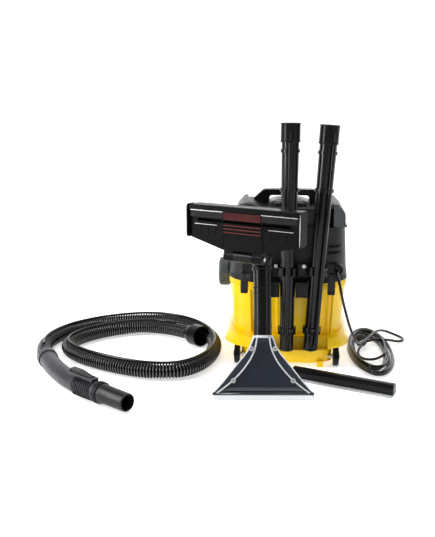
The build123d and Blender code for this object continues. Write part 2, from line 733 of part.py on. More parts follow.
SOCKET_TOP = 322.0
ELBOW_CENTRE = UP_HAND.from_local_coords((0, 0, SOCKET_TOP))
TO_PIVOT = (Vector(*PIVOT) - ELBOW_CENTRE)
ELBOW = Plane(origin=ELBOW_CENTRE, x_dir=SOLE.x_dir, z_dir=TO_PIVOT)

with BuildPart() as floor_nozzle_neck:
    with BuildSketch(UP_HAND.offset(NECK_TOP - 26)):
        Circle(NECK_BORE_R - 0.3)
    extrude(amount=27)
    for height, radius in ((NECK_TOP + 0.4, 20), (300, 21), (314, 25), (SOCKET_TOP, 25.5)):
        with BuildSketch(UP_HAND.offset(height)):
            Circle(radius)
    loft(ruled=True)
    with Locations(ELBOW_CENTRE):
        Sphere(24)
    with BuildSketch(ELBOW):
        Circle(20)
    with BuildSketch(ELBOW.offset(TO_PIVOT.length - 8)):
        RectangleRounded(48, 22, 6)
    loft()
    with BuildSketch(ACROSS_SOLE.offset(-24.2)):
        Circle(KNUCKLE_R)
    extrude(amount=48.4)
    with BuildSketch(ACROSS_SOLE.offset(-60)):
        Circle(PIN_R + 0.06)
    extrude(amount=120, mode=Mode.SUBTRACT)
    with BuildSketch(UP_HAND.offset(NECK_TOP - 27)):
        Circle(14)
    extrude(amount=80, mode=Mode.SUBTRACT)
    # sideways way for the air through the elbow
    with BuildSketch(ELBOW.offset(-2)):
        Circle(13)
    extrude(amount=40, mode=Mode.SUBTRACT)
finish(floor_nozzle_neck, "floor_nozzle_neck")

# ============================================================================================
# HARD FLOOR ADAPTER, lying on the floor
# ============================================================================================
ADAPTER_YAW = math.radians(-23.7)
ADAPTER = Plane(
    origin=(133, -318, 0),
    x_dir=(math.cos(ADAPTER_YAW), math.sin(ADAPTER_YAW), 0), z_dir=(0, 0, 1))
ADAPTER_LENGTH = 250.0

with BuildPart() as adapter_body:
    adapter_outline = profile(Plane(origin=ADAPTER.from_local_coords((-ADAPTER_LENGTH / 2, 0, 0)),
                                    x_dir=ADAPTER.y_dir, z_dir=ADAPTER.x_dir), [
        (-8, 5, 0), (14, 5, 0), (14, 24, 3), (8, 30, 3), (-5, 30, 3), (-8, 20, 0)])
    extrude(adapter_outline, amount=ADAPTER_LENGTH)
finish(adapter_body, "adapter_body")

with BuildPart() as adapter_lip:
    with BuildSketch(ADAPTER):
        with Locations((0, 0)):
            RectangleRounded(ADAPTER_LENGTH - 4, 30, 3)
    extrude(amount=4.9)
finish(adapter_lip, "adapter_lip")

# ============================================================================================
# SUCTION HOSE AND ITS GRIP, lying on the floor
# ============================================================================================
HOSE_Z = 21.0
HOSE_ROUTE = [
    (-612, -235, 24), (-650, -160, HOSE_Z), (-646, -60, HOSE_Z), (-600, 34, HOSE_Z),
    (-508, 112, HOSE_Z), (-394, 148, HOSE_Z), (-287, 104, HOSE_Z), (-212, 4, HOSE_Z),
    (-187, -106, HOSE_Z), (-200, -221, HOSE_Z), (-252, -300, HOSE_Z), (-328, -312, HOSE_Z),
    (-420, -282, HOSE_Z), (-530, -218, HOSE_Z), (-590, -142, HOSE_Z), (-580, -62, HOSE_Z),
    (-516, 18, HOSE_Z), (-420, 66, HOSE_Z), (-328, 44, 25), (-268, -16, 29.5),
]

with BuildPart() as suction_hose:
    with BuildLine() as hose_line:
        _, hose_radii = rounded_path(HOSE_ROUTE)
    with BuildSketch(hose_line.line ^ 0):
        Circle(HOSE_R)
        Circle(HOSE_R - 2.5, mode=Mode.SUBTRACT)
    sweep()
finish(suction_hose, "suction_hose")
hose_wire = hose_line.wire()
print("hose length", round(hose_wire.length), "radii", [round(r) for r in hose_radii])
hose_section = math.pi * (HOSE_R ** 2 - (HOSE_R - 2.5) ** 2)
print("hose volume ratio", suction_hose.part.volume / (hose_section * hose_wire.length))

# the connector that goes into the machine
CONNECTOR = Plane(origin=hose_line.line @ 1, x_dir=(0, 0, 1), z_dir=hose_line.line % 1)

with BuildPart() as hose_connector:
    for height, radius in ((0.2, 23), (12, 26.5), (16, 28.8)):
        with BuildSketch(CONNECTOR.offset(height)):
            Circle(radius)
    loft(ruled=True)
    with BuildSketch(CONNECTOR.offset(16)):
        Circle(28.8)
    extrude(amount=34)
    with BuildSketch(CONNECTOR.offset(0)):
        Circle(16.5)
    extrude(amount=20, mode=Mode.SUBTRACT)
    with BuildSketch(CONNECTOR.offset(19)):
        Circle(25)
    extrude(amount=50, mode=Mode.SUBTRACT)
finish(hose_connector, "hose_connector")

# the curved grip at the other end
GRIP_Z = 25.5
GRIP_ROUTE = [(-611.5, -236, GRIP_Z), (-570, -312, GRIP_Z), (-500, -404, GRIP_Z),
              (-408, -472, GRIP_Z)]
GRIP_R = 22.5

with BuildPart() as grip_shell:
    with BuildLine() as grip_line:
        rounded_path(GRIP_ROUTE)
    with BuildSketch(grip_line.line ^ 0):
        Circle(GRIP_R)
    sweep()
    with BuildSketch(grip_line.line ^ 0):
        Circle(25)
    extrude(amount=26)
    with BuildSketch(grip_line.line ^ 1):
        Circle(24.5)
    extrude(amount=-14)
    with BuildSketch(grip_line.line ^ 0):
        Circle(18.2)
    sweep(path=grip_line.line, mode=Mode.SUBTRACT)
    # block that carries the trigger
    TRIGGER = Plane(origin=grip_line.line @ 0.78, x_dir=grip_line.line % 0.78, z_dir=(0, 0, 1))
    with BuildSketch(TRIGGER.offset(GRIP_R - 6)):
        Rectangle(92, 20)
    extrude(amount=12)
    with BuildSketch(TRIGGER.offset(GRIP_R + 0.5)):
        with Locations((-2, 0)):
            Rectangle(84, 14)
    extrude(amount=12, mode=Mode.SUBTRACT)
    with BuildSketch(Plane(origin=TRIGGER.from_local_coords((34, 12, GRIP_R + 3.2)),
                           x_dir=TRIGGER.x_dir, z_dir=TRIGGER.y_dir)):
        Circle(1.6)
    extrude(amount=-24, mode=Mode.SUBTRACT)
finish(grip_shell, "grip_shell")

with BuildPart() as grip_trigger:
    trigger_side = profile(
        Plane(origin=TRIGGER.from_local_coords((0, 6.6, 0)), x_dir=TRIGGER.x_dir,
              z_dir=-TRIGGER.y_dir), [
            (-38, GRIP_R + 8.5, 0), (-38, GRIP_R + 13.5, 2), (-4, GRIP_R + 14, 0),
            (36.5, GRIP_R + 7, 2), (37.5, GRIP_R + 1.2, 0), (30, GRIP_R + 1.2, 0)])
    extrude(trigger_side, amount=13.2)
    with BuildSketch(Plane(origin=TRIGGER.from_local_coords((34, 9.6, GRIP_R + 3.2)),
                           x_dir=TRIGGER.x_dir, z_dir=TRIGGER.y_dir)):
        Circle(1.54)
    extrude(amount=-19.2)
finish(grip_trigger, "grip_trigger")

with BuildPart() as grip_end_tube:
    grip_tip = Plane(origin=grip_line.line @ 1, x_dir=(0, 0, 1), z_dir=grip_line.line % 1)
    for height, radius in ((0.2, 19.5), (12, 19.5), (84, TUBE_END_R)):
        with BuildSketch(grip_tip.offset(height)):
            Circle(radius)
    loft(ruled=True)
    with BuildSketch(grip_tip):
        Circle(15)
    extrude(amount=90, mode=Mode.SUBTRACT)
finish(grip_end_tube, "grip_end_tube")

# ============================================================================================
# MAINS CABLE, its loose coil and its plug
# ============================================================================================
COIL_CENTRE = (220.5, -62)
COIL_OUTER = (56, 199)    # half width and half length round the outside
COIL_HOLE_CENTRE = (218, -55)
COIL_HOLE = (34.5, 128)     # half width and half length of the hole
COIL_HEIGHT = 22.0
CABLE_ROUTE = [
    (122, -155, 246), (122.5, -173, 245), (124, -190, 239), (127, -203, 226),
    (131, -209, 206), (137, -208, 180), (146, -200, 148), (156, -184, 114), (168, -158, 82),
    (180, -124, 54), (193, -86, 36), (210, -46, 31), (228, -8, 30), (243, 32, 30),
    (261, 70, 27), (283, 98, 18), (304, 101, 9), (324, 89.5, 4.5), (332, 68, 4.5),
    (326, 46, 4.5), (307, 31, 7.5), (286, 24, 13.5), (266, 19, 17.5),
]
PLUG_ROUTE = [
    (262, -104, 17.4), (250, -121, 14), (231, -134, 9), (210, -131, 6.5), (195, -118, 6.5),
    (190, -97, 9), (192, -77, 13.5), (199, -58, 17), (206, -38, 18),
]

with BuildPart() as mains_cable:
    with BuildLine() as cable_line:
        _, cable_radii = rounded_path(CABLE_ROUTE)
    with BuildSketch(cable_line.line ^ 0):
        Circle(CABLE_R)
    sweep()
cable_wire = cable_line.wire()

with BuildPart() as plug_lead:
    with BuildLine() as lead_line:
        _, lead_radii = rounded_path(PLUG_ROUTE)
    with BuildSketch(lead_line.line ^ 0):
        Circle(CABLE_R)
    sweep()
lead_wire = lead_line.wire()

cable_length = cable_wire.length + lead_wire.length
print("cable lengths", round(cable_wire.length), round(lead_wire.length))
print("cable radii", [round(r) for r in cable_radii + lead_radii])
cable_section = math.pi * CABLE_R ** 2
cable_volume = mains_cable.part.volume + plug_lead.part.volume
print("cable volume ratio", cable_volume / (cable_section * cable_length))
mains_cable.part = Compound(children=[mains_cable.part.solid(), plug_lead.part.solid()])
finish(mains_cable, "mains_cable")

with BuildPart() as cable_coil:
    with BuildSketch(Plane.XY.offset(0.2)) as coil_outline:
        with Locations(COIL_CENTRE):
            Ellipse(*COIL_OUTER)
        with Locations(COIL_HOLE_CENTRE):
            Ellipse(*COIL_HOLE, mode=Mode.SUBTRACT)
    extrude(amount=COIL_HEIGHT)
finish(cable_coil, "cable_coil")

PLUG = Plane(origin=(206, -38, 18), x_dir=(1, 0, 0), z_dir=(0, 1, 0))
with BuildPart() as mains_plug:
    for height, radius in ((0.1, 6), (14, 9), (30, 16.5), (42, 17.4)):
        with BuildSketch(PLUG.offset(height)):
            Circle(radius)
    loft(ruled=True)
    with BuildSketch(PLUG.offset(42)):
        with Locations((-9.5, 0), (9.5, 0)):
            Circle(2.4)
    extrude(amount=19)
finish(mains_plug, "mains_plug")
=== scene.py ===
"""Spot extractor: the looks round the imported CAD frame.  Metres, +Z up, rear of the machine at -Y."""
import bpy
import bmesh
import math
from mathutils import Matrix, Vector


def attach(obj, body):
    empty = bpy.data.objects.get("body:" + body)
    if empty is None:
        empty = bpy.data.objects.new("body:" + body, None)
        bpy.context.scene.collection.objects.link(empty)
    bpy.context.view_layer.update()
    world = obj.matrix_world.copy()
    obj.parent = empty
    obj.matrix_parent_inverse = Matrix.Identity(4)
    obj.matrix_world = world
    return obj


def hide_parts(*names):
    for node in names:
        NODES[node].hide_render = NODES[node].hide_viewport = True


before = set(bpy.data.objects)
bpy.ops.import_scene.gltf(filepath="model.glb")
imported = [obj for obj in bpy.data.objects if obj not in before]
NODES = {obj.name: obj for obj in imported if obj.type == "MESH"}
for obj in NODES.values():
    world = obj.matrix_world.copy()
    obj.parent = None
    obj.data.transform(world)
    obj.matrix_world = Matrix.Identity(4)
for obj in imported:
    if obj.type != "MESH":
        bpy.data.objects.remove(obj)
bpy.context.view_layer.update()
MM = 0.001
scene = bpy.context.scene
collection = scene.collection


def at(x, y, z):
    """A point of the shared frame, given in millimetres."""
    return Vector((x, y, z)) * MM


# ============================================================================================
# CAMERA, LIGHT AND FLOOR
# ============================================================================================
CAMERA_PLACE = (-0.006, -2.02, 0.65)
CAMERA_YAW = math.radians(5.3)
CAMERA_PITCH = math.radians(12.15)
FOCAL_PIXELS = 750.0
IMAGE_HEIGHT = 537


def add_camera():
    data = bpy.data.cameras.new("camera")
    data.sensor_width = 36.0
    data.lens = FOCAL_PIXELS / IMAGE_HEIGHT * data.sensor_width
    data.clip_start = 0.01
    camera = bpy.data.objects.new("camera", data)
    camera.location = CAMERA_PLACE
    camera.rotation_euler = (math.pi / 2 - CAMERA_PITCH, 0, CAMERA_YAW)
    collection.objects.link(camera)
    scene.camera = camera


def add_area(name, place, target, size, power):
    data = bpy.data.lights.new(name, "AREA")
    data.shape = "RECTANGLE"
    data.size, data.size_y = size
    data.energy = power
    lamp = bpy.data.objects.new(name, data)
    lamp.location = place
    aim = Vector(target) - Vector(place)
    lamp.rotation_euler = aim.to_track_quat("-Z", "Y").to_euler()
    collection.objects.link(lamp)


def add_floor(material):
    """A floor that curves up into a plain backdrop behind the object."""
    reach, start, radius, top = 7.0, 1.6, 1.6, 4.2
    line = [(-6.0, 0.0), (start, 0.0)]
    for step in range(1, 17):
        angle = math.pi / 2 * step / 16
        line.append((start + radius * math.sin(angle), radius - radius * math.cos(angle)))
    line.append((start + radius, top))
    vertices = [(x, y, z) for y, z in line for x in (-reach, reach)]
    faces = [(2 * i, 2 * i + 1, 2 * i + 3, 2 * i + 2) for i in range(len(line) - 1)]
    mesh = bpy.data.meshes.new("studio_floor")
    mesh.from_pydata(vertices, [], faces)
    for polygon in mesh.polygons:
        polygon.use_smooth = True
    floor = bpy.data.objects.new("studio_floor", mesh)
    floor.location = (0, 0, -0.0005)
    mesh.materials.append(material)
    collection.objects.link(floor)


def add_world():
    world = bpy.data.worlds.new("studio")
    world.use_nodes = True
    background = world.node_tree.nodes["Background"]
    background.inputs["Color"].default_value = (1.0, 1.0, 1.0, 1)
    background.inputs["Strength"].default_value = 0.30
    scene.world = world
    scene.view_settings.view_transform = "Standard"


# ============================================================================================
# MATERIALS
# ============================================================================================
def new_material(name):
    material = bpy.data.materials.new(name)
    material.use_nodes = True
    return material, material.node_tree, material.node_tree.nodes["Principled BSDF"]


def link(tree, source, socket, target, target_socket):
    tree.links.new(source.outputs[socket], target.inputs[target_socket])


def coordinates(tree, scale=(1, 1, 1)):
    place = tree.nodes.new("ShaderNodeTexCoord")
    mapping = tree.nodes.new("ShaderNodeMapping")
    mapping.inputs["Scale"].default_value = scale
    link(tree, place, "Object", mapping, "Vector")
    return mapping


def noise(tree, source, scale, detail=4.0, roughness=0.6):
    node = tree.nodes.new("ShaderNodeTexNoise")
    node.inputs["Scale"].default_value = scale
    node.inputs["Detail"].default_value = detail
    node.inputs["Roughness"].default_value = roughness
    link(tree, source, "Vector", node, "Vector")
    return node


def ramp(tree, source, socket, stops):
    node = tree.nodes.new("ShaderNodeValToRGB")
    elements = node.color_ramp.elements
    while len(elements) < len(stops):
        elements.new(0.5)
    for element, (position, colour) in zip(elements, stops):
        element.position = position
        element.color = colour if len(colour) == 4 else (*colour, 1)
    link(tree, source, socket, node, "Fac")
    return node


def grey(value):
    return (value, value, value, 1)


def plastic(name, colour, rough=0.4, grain=900.0, bump=0.08, mottle=0.10, coat=0.0,
            wear=0.25, specular=0.5):
    """Moulded plastic: fine grain, slow colour drift, uneven gloss and paler worn edges."""
    material, tree, shader = new_material(name)
    place = coordinates(tree)
    drift = noise(tree, place, 9.0, 3.0)
    scuffs = noise(tree, place, 60.0, 8.0, 0.75)
    darker = tuple(channel * (1 - mottle) for channel in colour)
    lighter = tuple(min(1.0, channel * (1 + mottle)) for channel in colour)
    base = ramp(tree, drift, "Fac", [(0.3, darker), (0.7, lighter)])
    # worn edges from the surface's own curvature
    geometry = tree.nodes.new("ShaderNodeNewGeometry")
    edge = ramp(tree, geometry, "Pointiness", [(0.505, grey(0)), (0.56, grey(1))])
    strength = tree.nodes.new("ShaderNodeMath")
    strength.operation = "MULTIPLY"
    strength.inputs[1].default_value = wear
    link(tree, edge, "Color", strength, 0)
    worn = tree.nodes.new("ShaderNodeMix")
    worn.data_type = "RGBA"
    pale = tuple(min(1.0, channel * 1.35 + 0.05) for channel in colour)
    worn.inputs[7].default_value = (*pale, 1)
    tree.links.new(strength.outputs[0], worn.inputs[0])
    tree.links.new(base.outputs["Color"], worn.inputs[6])
    tree.links.new(worn.outputs[2], shader.inputs["Base Color"])
    gloss = ramp(tree, scuffs, "Fac", [(0.35, grey(max(0.03, rough - 0.07))), (0.7, grey(rough + 0.10))])
    link(tree, gloss, "Color", shader, "Roughness")
    texture = noise(tree, place, grain, 2.0, 0.5)
    height = tree.nodes.new("ShaderNodeBump")
    height.inputs["Strength"].default_value = bump
    height.inputs["Distance"].default_value = 0.0004
    link(tree, texture, "Fac", height, "Height")
    link(tree, height, "Normal", shader, "Normal")
    shader.inputs["Coat Weight"].default_value = coat
    shader.inputs["Coat Roughness"].default_value = 0.12
    shader.inputs["Specular IOR Level"].default_value = specular
    return material


def metal(name, colour, rough, stretch=(1, 1, 60)):
    """Drawn or plated metal with fine directional scratches."""
    material, tree, shader = new_material(name)
    place = coordinates(tree, stretch)
    grain = noise(tree, place, 120.0, 6.0, 0.7)
    darker = tuple(channel * 0.8 for channel in colour)
    base = ramp(tree, grain, "Fac", [(0.3, darker), (0.7, colour)])
    link(tree, base, "Color", shader, "Base Color")
    gloss = ramp(tree, grain, "Fac", [(0.3, grey(rough)), (0.75, grey(rough + 0.18))])
    link(tree, gloss, "Color", shader, "Roughness")
    shader.inputs["Metallic"].default_value = 1.0
    height = tree.nodes.new("ShaderNodeBump")
    height.inputs["Strength"].default_value = 0.12
    height.inputs["Distance"].default_value = 0.0002
    link(tree, grain, "Fac", height, "Height")
    link(tree, height, "Normal", shader, "Normal")
    return material


def clear(name, colour, rough=0.08, weight=1.0):
    """Clear plastic with faint haze and scratches."""
    material, tree, shader = new_material(name)
    place = coordinates(tree)
    haze = noise(tree, place, 40.0, 8.0, 0.7)
    gloss = ramp(tree, haze, "Fac", [(0.4, grey(rough)), (0.8, grey(rough + 0.15))])
    link(tree, gloss, "Color", shader, "Roughness")
    tint = ramp(tree, haze, "Fac", [(0.2, tuple(c * 0.96 for c in colour)), (0.8, colour)])
    link(tree, tint, "Color", shader, "Base Color")
    shader.inputs["Transmission Weight"].default_value = weight
    shader.inputs["IOR"].default_value = 1.49
    return material


M = {
    "yellow": plastic("yellow_tub", (1.0, 0.655, 0.002), 0.28, 700, 0.03, 0.010, 0.18, 0.0,
                      0.28),
    "black": plastic("black_moulded", (0.0034, 0.0036, 0.0042), 0.22, 1100, 0.03, 0.15, wear=0.04,
                     specular=0.18),
    "head": plastic("head_dark_grey", (0.0095, 0.0112, 0.0112), 0.38, 1300, 0.16, 0.12, wear=0.06,
                    specular=0.28),
    "sole": plastic("sole_black", (0.0026, 0.0028, 0.0032), 0.26, 1100, 0.05, 0.15, wear=0.03,
                    specular=0.07),
    "grey": plastic("cover_grey", (0.060, 0.069, 0.074), 0.42, 1300, 0.12, 0.06, wear=0.08,
                    specular=0.4),
    # near-white lip of the clear nozzle: a painted highlight, the bright glowing line along its lower
    # edge
    "pale": plastic("pale_lip_painted_highlight", (0.80, 0.82, 0.84), 0.28, 900, 0.05, 0.04, 0.1),
    "white": plastic("natural_white", (0.75, 0.76, 0.74), 0.40, 900, 0.05, 0.04),
    "tube": plastic("tube_black", (0.0036, 0.0039, 0.0048), 0.20, 500, 0.03, 0.12, 0.15, 0.03, 0.24),
    # the hose's own black, set darker than the other blacks so the grooves read shaded (partly painted
    # shade); the crest faces get a lighter, glossier copy, a painted highlight on the ribs
    "hose": plastic("hose_groove_black_painted_shade", (0.0022, 0.0022, 0.0026), 0.40, 500, 0.02, 0.15, wear=0.0,
                    specular=0.10),
    "crest_highlight": plastic("hose_crest_painted_highlight", (0.026, 0.026, 0.029), 0.18, 500, 0.02, 0.20, 0.5, 0.0, 0.9),
    "grip": plastic("grip_plastic", (0.030, 0.027, 0.036), 0.36, 1200, 0.08, 0.10, 0.0, 0.10, 0.35),
    "nose": plastic("grip_nose", (0.0070, 0.0062, 0.0082), 0.34, 1200, 0.08, 0.10, 0.0, 0.10, 0.30),
    "rubber": plastic("black_rubber", (0.0060, 0.0060, 0.0066), 0.55, 1500, 0.15, 0.15, wear=0.05,
                      specular=0.3),
    "cable": plastic("cable_sheath", (0.0030, 0.0030, 0.0034), 0.17, 900, 0.03, 0.12, wear=0.0,
                     specular=0.42),
    "grey_rubber": plastic("grey_rubber", (0.42, 0.44, 0.46), 0.55, 1400, 0.12, 0.08),
    "red": plastic("red_strip", (0.085, 0.010, 0.009), 0.65, 2500, 0.5, 0.22, wear=0.0,
                   specular=0.3),
    "foam": plastic("foam", (0.05, 0.055, 0.07), 0.9, 1600, 1.0, 0.35),
    "glide": plastic("glide_strip", (0.0060, 0.0064, 0.0072), 0.18, 700, 0.05, 0.1, wear=0.05,
                     specular=0.22),
    "steel": metal("zinc_steel", (0.62, 0.63, 0.65), 0.25),
    "motor": metal("motor_can", (0.36, 0.37, 0.39), 0.38, (1, 1, 20)),
    # clear plastic made mostly opaque near-white, so its beads and rings show the bright edges of clear
    # plastic as a painted highlight
    "rib": clear("clear_rib_painted_highlight", (0.95, 0.97, 1.0), 0.10, 0.35),
    "smoke": clear("smoke_plastic", (0.045, 0.058, 0.080), 0.12, 0.45),
    "panel": plastic("smoke_panel", (0.0090, 0.0135, 0.024), 0.16, 500, 0.03, 0.30, 0.3, 0.0, 0.5),
}


def studio_white():
    """A matt white that glows a little, so that the floor and backdrop stay evenly white."""
    material, tree, shader = new_material("studio_white")
    drift = noise(tree, coordinates(tree), 0.6, 2.0)
    tone = ramp(tree, drift, "Fac", [(0.3, grey(0.90)), (0.7, grey(0.93))])
    link(tree, tone, "Color", shader, "Base Color")
    link(tree, tone, "Color", shader, "Emission Color")
    shader.inputs["Emission Strength"].default_value = 0.58
    shader.inputs["Roughness"].default_value = 0.8
    shader.inputs["Specular IOR Level"].default_value = 0.1
    return material


floor_material = studio_white()

CAD_FINISH = {
    "yellow": ["tub_shell", "chassis"],
    "head": ["head_shell", "latch_left", "latch_right", "grip_trigger"],
    "grey": ["side_cover_left", "side_cover_right", "suction_button", "spray_button",
             "suction_port", "caster_left_wheel", "caster_right_wheel"],
    "black": ["top_cover", "carry_handle", "head_base", "fan_housing", "water_pump_with_hose",
              "float_cage", "tube_rack", "tube_1_sleeve", "tube_2_sleeve", "hand_nozzle_neck",
              "hand_nozzle_spray_pipe", "floor_nozzle_neck", "adapter_body", "hose_connector",
              "wheel_left", "wheel_right", "caster_left_fork", "caster_right_fork"],
    "sole": ["floor_nozzle_body", "floor_nozzle_end_caps", "floor_nozzle_top_lip"],
    "tube": ["tube_1", "tube_2", "tube_1_spray_line", "tube_2_spray_line", "grip_end_tube"],
    "grip": ["grip_shell"],
    "rubber": ["tub_seal", "cable_gland", "mains_plug"],
    "steel": ["rear_axle", "rack_screws", "hand_nozzle_screws", "floor_nozzle_pin"],
    "motor": ["suction_motor", "fan_impeller"],
    "white": ["fresh_water_tank", "float_ball"],
    "foam": ["foam_filter"],
    "smoke": ["hand_nozzle_body"],
    "pale": ["hand_nozzle_lip"],
    "red": ["floor_nozzle_red_strips"],
    "glide": ["floor_nozzle_glides"],
    "grey_rubber": ["adapter_lip"],
}


# edge rounding in millimetres where it is more than a fine break
SOFTENING = {
    "carry_handle": 4.5, "top_cover": 3.0, "side_cover_left": 2.2, "side_cover_right": 2.2,
    "tube_rack": 1.8, "chassis": 1.2, "head_shell": 1.6, "adapter_body": 1.2,
    "floor_nozzle_body": 1.4, "latch_left": 1.4, "latch_right": 1.4, "hand_nozzle_body": 1.0,
}


def dress(node, material):
    """Give a CAD node its finish, and soften its edges without touching its mesh."""
    piece = NODES[node]
    for slot in piece.material_slots:
        slot.link = "OBJECT"
        slot.material = material
    soften = piece.modifiers.new("soft_edges", "BEVEL")
    soften.width = SOFTENING.get(node, 0.9) * MM
    soften.segments = 3
    soften.limit_method = "ANGLE"
    soften.angle_limit = math.radians(40)
    soften.harden_normals = False


# ============================================================================================
# CORDS
# ============================================================================================
HOSE_Z = 21.0
HOSE_ROUTE = [
    (-612, -235, 24), (-650, -160, HOSE_Z), (-646, -60, HOSE_Z), (-600, 34, HOSE_Z),
    (-508, 112, HOSE_Z), (-394, 148, HOSE_Z), (-287, 104, HOSE_Z), (-212, 4, HOSE_Z),
    (-187, -106, HOSE_Z), (-200, -221, HOSE_Z), (-252, -300, HOSE_Z), (-328, -312, HOSE_Z),
    (-420, -282, HOSE_Z), (-530, -218, HOSE_Z), (-590, -142, HOSE_Z), (-580, -62, HOSE_Z),
    (-516, 18, HOSE_Z), (-420, 66, HOSE_Z), (-328, 44, 25), (-268, -16, 29.5),
]
HOSE_R = 0.019
HOSE_PITCH = 0.0074       # from one rib's crest to the next
HOSE_RIB = [0.78, 0.80, 0.96, 1.0, 0.96, 0.80]     # one rib's radii as shares of the hose's
HOSE_CREST = (2, 3)       # the steps of a rib that belong to its crest, painted lighter as a highlight
SPRAY_LINE_R = 0.0034
CABLE_R = 0.0035
CABLE_ROUTE = [
    (122, -155, 246), (122.5, -173, 245), (124, -190, 239), (127, -203, 226),
    (131, -209, 206), (137, -208, 180), (146, -200, 148), (156, -184, 114), (168, -158, 82),
    (180, -124, 54), (193, -86, 36), (210, -46, 31), (228, -8, 30), (243, 32, 30),
    (261, 70, 27), (283, 98, 18), (304, 101, 9), (324, 89.5, 4.5), (332, 68, 4.5),
    (326, 46, 4.5), (307, 31, 7.5), (286, 24, 13.5), (266, 19, 17.5),
]
PLUG_ROUTE = [
    (262, -104, 17.4), (250, -121, 14), (231, -134, 9), (210, -131, 6.5), (195, -118, 6.5),
    (190, -97, 9), (192, -77, 13.5), (199, -58, 17), (206, -38, 18),
]


def smooth_curve(name, points, radius, material):
    """One open NURBS line through a route given in millimetres."""
    data = bpy.data.curves.new(name, "CURVE")
    data.dimensions = "3D"
    spline = data.splines.new("NURBS")
    spline.points.add(len(points) - 1)
    for target, point in zip(spline.points, points):
        target.co = (*(value * MM for value in point), 1)
    spline.order_u = 3
    spline.use_endpoint_u = True
    data.resolution_u = 12
    data.bevel_depth = radius
    data.bevel_resolution = 6
    data.use_fill_caps = True
    data.materials.append(material)
    piece = bpy.data.objects.new(name, data)
    collection.objects.link(piece)
    return piece


def line_points(points):
    """The points of the route's smooth line, evenly read from a curve with no bevel."""
    guide = smooth_curve("guide", points, 0.0, M["black"])
    guide.data.use_fill_caps = False
    guide.data.resolution_u = 24
    mesh = bpy.data.meshes.new_from_object(guide)
    result = [vertex.co.copy() for vertex in mesh.vertices]
    bpy.data.objects.remove(guide)
    return result


def resample(points, step):
    """The same line with points a fixed step apart."""
    result = [points[0]]
    carried = 0.0
    for before, after in zip(points, points[1:]):
        run = (after - before).length
        along = step - carried
        while along <= run:
            result.append(before.lerp(after, along / run))
            along += step
        carried = (carried + run) % step
    return result


def tube_mesh(name, path, radius_at, sides, material, offset_at=None, highlight_crest_at=None):
    """A tube along a path whose radius and sideways offset may change along the way."""
    tangents = []
    for index in range(len(path)):
        ahead = path[min(index + 1, len(path) - 1)]
        behind = path[max(index - 1, 0)]
        tangents.append((ahead - behind).normalized())
    vertices, faces = [], []
    for index, (centre, tangent) in enumerate(zip(path, tangents)):
        sideways = tangent.cross(Vector((0, 0, 1))).normalized()
        upwards = sideways.cross(tangent).normalized()
        if offset_at:
            side_shift, up_shift = offset_at(index)
            centre = centre + sideways * side_shift + upwards * up_shift
        radius = radius_at(index)
        for step in range(sides):
            angle = 2 * math.pi * step / sides
            vertices.append(centre + radius * (math.cos(angle) * sideways + math.sin(angle) * upwards))
    for ring in range(len(path) - 1):
        for step in range(sides):
            following = (step + 1) % sides
            faces.append((ring * sides + step, ring * sides + following,
                          (ring + 1) * sides + following, (ring + 1) * sides + step))
    faces.append(tuple(reversed(range(sides))))
    faces.append(tuple(range((len(path) - 1) * sides, len(path) * sides)))
    mesh = bpy.data.meshes.new(name)
    mesh.from_pydata([tuple(v) for v in vertices], [], faces)
    mesh.materials.append(material)
    # the crest faces picked by the mask get the lighter crest material: a painted highlight on the
    # hose's ribs
    if highlight_crest_at:
        mesh.materials.append(M["crest_highlight"])
    for number, polygon in enumerate(mesh.polygons):
        polygon.use_smooth = len(polygon.vertices) == 4
        if highlight_crest_at and highlight_crest_at(number // sides):
            polygon.material_index = 1
    piece = bpy.data.objects.new(name, mesh)
    collection.objects.link(piece)
    return piece


def path_length(points):
    return sum((after - before).length for before, after in zip(points, points[1:]))


def add_hose():
    per_rib = len(HOSE_RIB)
    path = resample(line_points(HOSE_ROUTE), HOSE_PITCH / per_rib)
    # crest faces painted lighter as a highlight, the rest in the hose's darker black
    hose = tube_mesh("corrugated_hose", path, lambda i: HOSE_R * HOSE_RIB[i % per_rib], 24,
                     M["hose"], highlight_crest_at=lambda i: i % per_rib in HOSE_CREST)
    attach(hose, "hose")
    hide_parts("suction_hose")
    # the thin spray line clipped along the hose, a little short of both its ends
    first, last, stride = 40, -50, 8
    line = tube_mesh("hose_spray_line", path[first:last:stride], lambda i: SPRAY_LINE_R, 12,
                     M["cable"], lambda i: (0.0, HOSE_R + 0.0028))
    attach(line, "hose")


# each turn's left and right x, near and far y and height, from the first wound to the last
COIL_TURNS = [
    (181, 261, -190, 78, 4.0), (174, 271, -214, 97, 4.0), (168, 283, -238, 117, 4.2),
    (169, 281, -255, 134, 11.0), (174.5, 270, -226, 108, 10.8), (182, 260, -203, 88, 10.8),
    (177, 272, -216, 100, 17.4),
]
# from the loop on the right over the coil, across its hole to the first turn
COIL_ENTRY = [(246, 17, 16.5), (227, 20, 9), (210, 28, 4.6), (199, 42, 4), (197, 58, 4),
              (205, 71, 4)]
TURN_POINTS = 18
FIRST_POINT = 5           # the first turn starts where the entry meets it


